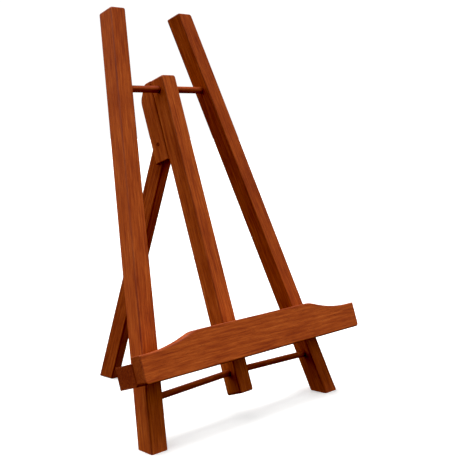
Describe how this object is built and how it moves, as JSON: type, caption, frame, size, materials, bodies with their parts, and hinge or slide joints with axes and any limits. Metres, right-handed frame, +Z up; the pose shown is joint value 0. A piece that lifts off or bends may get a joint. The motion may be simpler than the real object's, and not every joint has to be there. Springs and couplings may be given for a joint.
{
  "type": "tabletop artist easel",
  "caption": "Tabletop wooden artist easel: splayed front legs and a centre post leaning back, a lipped ledge, and a rear leg that folds flat against the post.",
  "frame": {"origin": "on the floor, at the centre of the whole easel's bounding box with the rear leg open", "axes": "+Z up; the artwork and the ledge face -Y; the rear leg stands out to +Y; X runs along the ledge"},
  "size_m": [0.3048, 0.2436, 0.3995],
  "materials": {
    "stained_wood": "satin red-brown stain with a thin clear coat, grain along each piece",
    "dowel_wood": "the same stain on round rods, a little darker",
    "steel": "dull plated steel"
  },
  "bodies": {
    "frame": {"left_leg": "stained_wood", "right_leg": "stained_wood", "center_post": "stained_wood", "shelf_bar": "stained_wood", "lip_board": "stained_wood", "hinge_block": "stained_wood", "top_dowel": "dowel_wood", "lower_dowel_left": "dowel_wood", "lower_dowel_right": "dowel_wood", "hinge_pin": "dowel_wood", "shelf_screw_left": "steel", "shelf_screw_center": "steel", "shelf_screw_right": "steel", "block_screw_lower": "steel", "block_screw_upper": "steel"},
    "rear_leg": {"rear_leg": "stained_wood"}
  },
  "joints": [
    {"name": "rear_leg_fold", "type": "hinge", "parent": "frame", "child": "rear_leg", "pos_m": [0, 0.01619, 0.2638], "axis": [1, 0, 0], "range_deg": [-39, 0]}
  ]
}
